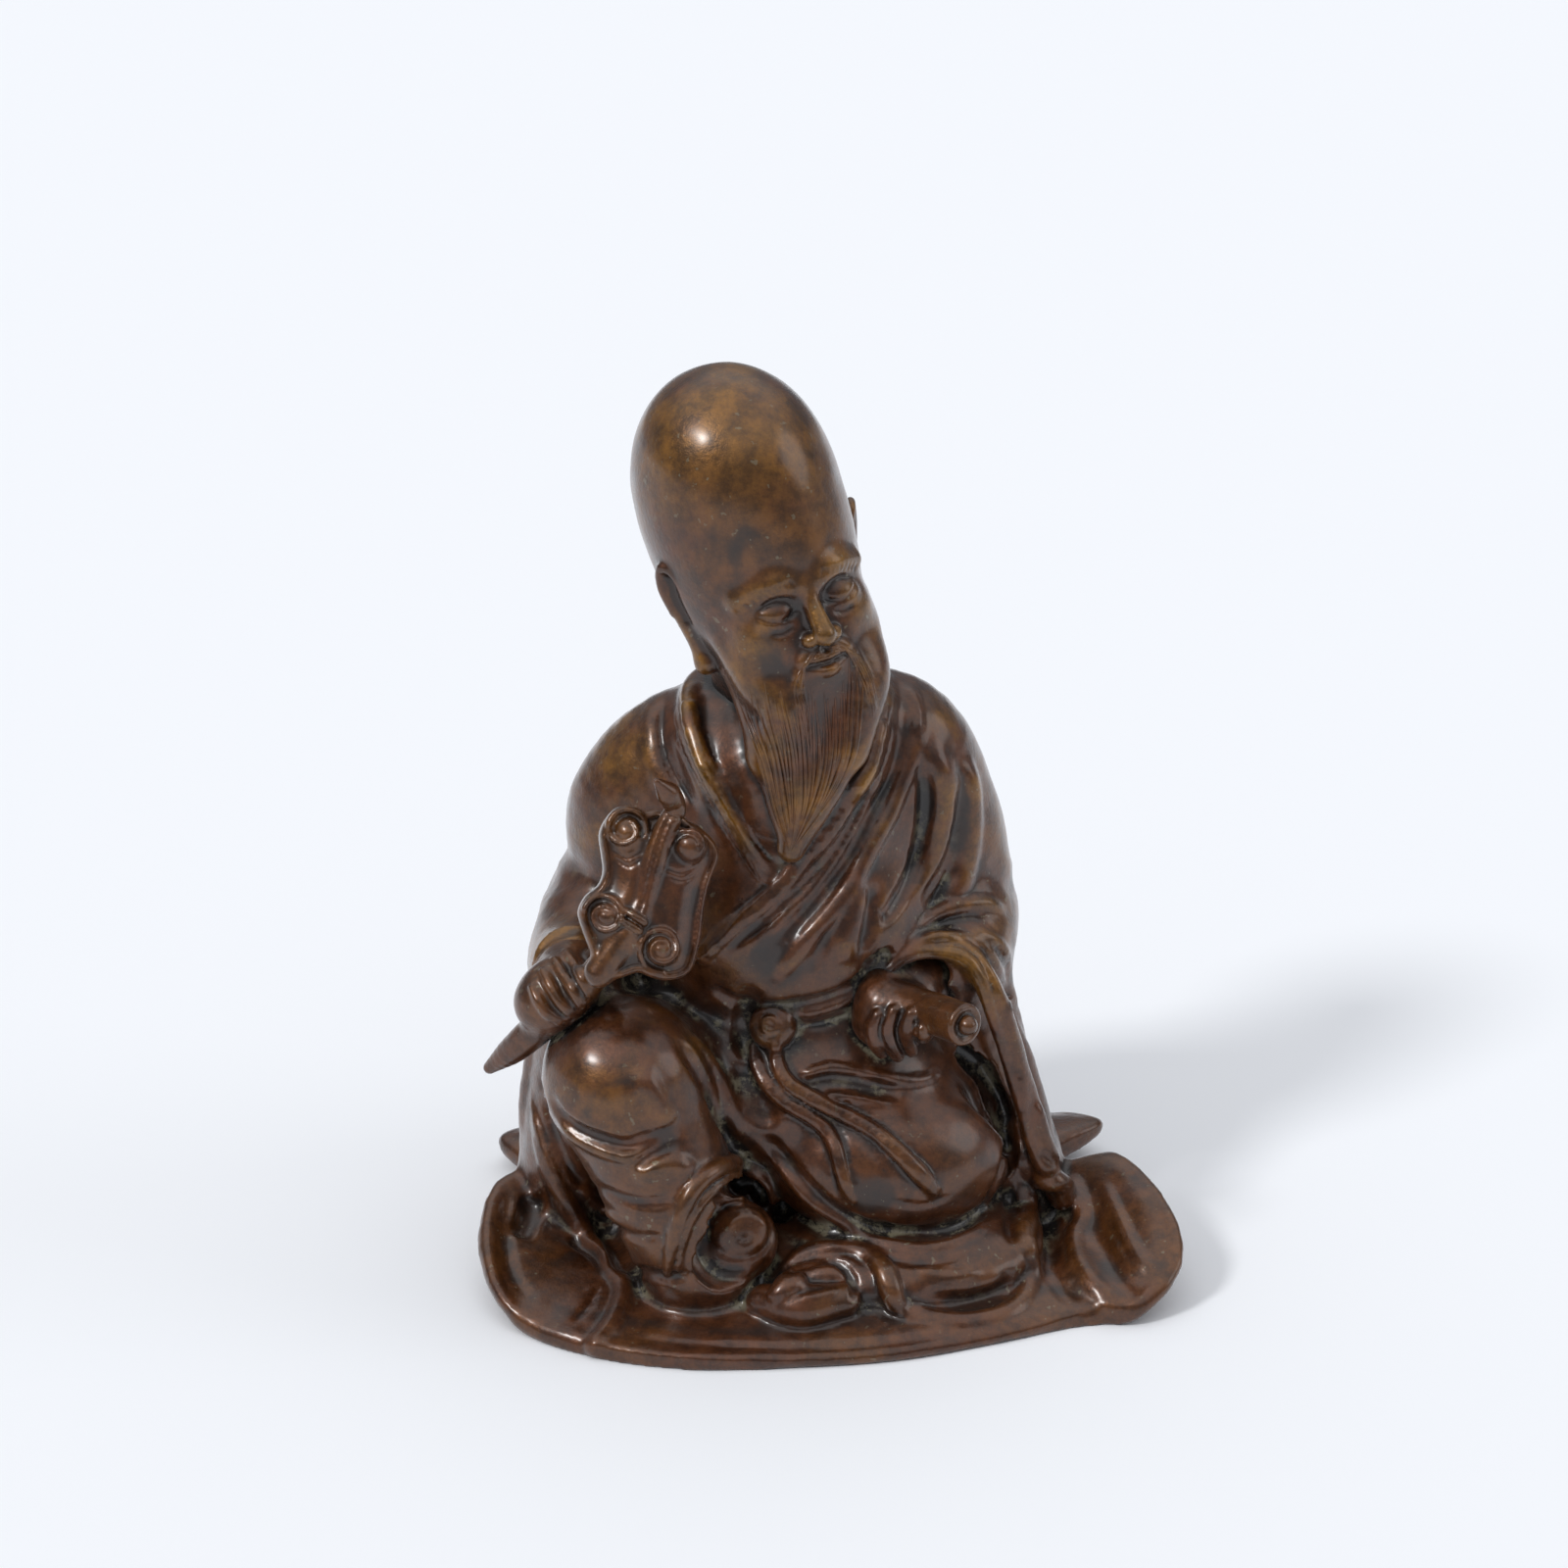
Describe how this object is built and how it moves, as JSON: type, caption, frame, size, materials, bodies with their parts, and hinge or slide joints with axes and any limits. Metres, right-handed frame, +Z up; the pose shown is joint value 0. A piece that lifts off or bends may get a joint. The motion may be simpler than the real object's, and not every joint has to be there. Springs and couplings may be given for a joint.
{
  "type": "small bronze figure statue",
  "caption": "Seated bronze sage with a tall domed head and long beard, holding a cloud-headed sceptre and a rolled scroll.",
  "frame": {"origin": "middle of the flat underside, at the bottom of the figure's box", "axes": "+Z up, -Y the front that the picture shows, +X to the viewer's right"},
  "size_m": [0.096, 0.0748, 0.1262],
  "materials": {
    "bronze": "dark reddish-brown patina, rubbed golden brown on the high places, satin gloss"
  },
  "bodies": {
    "root": {"bronze_figure": "bronze"}
  },
  "joints": []
}
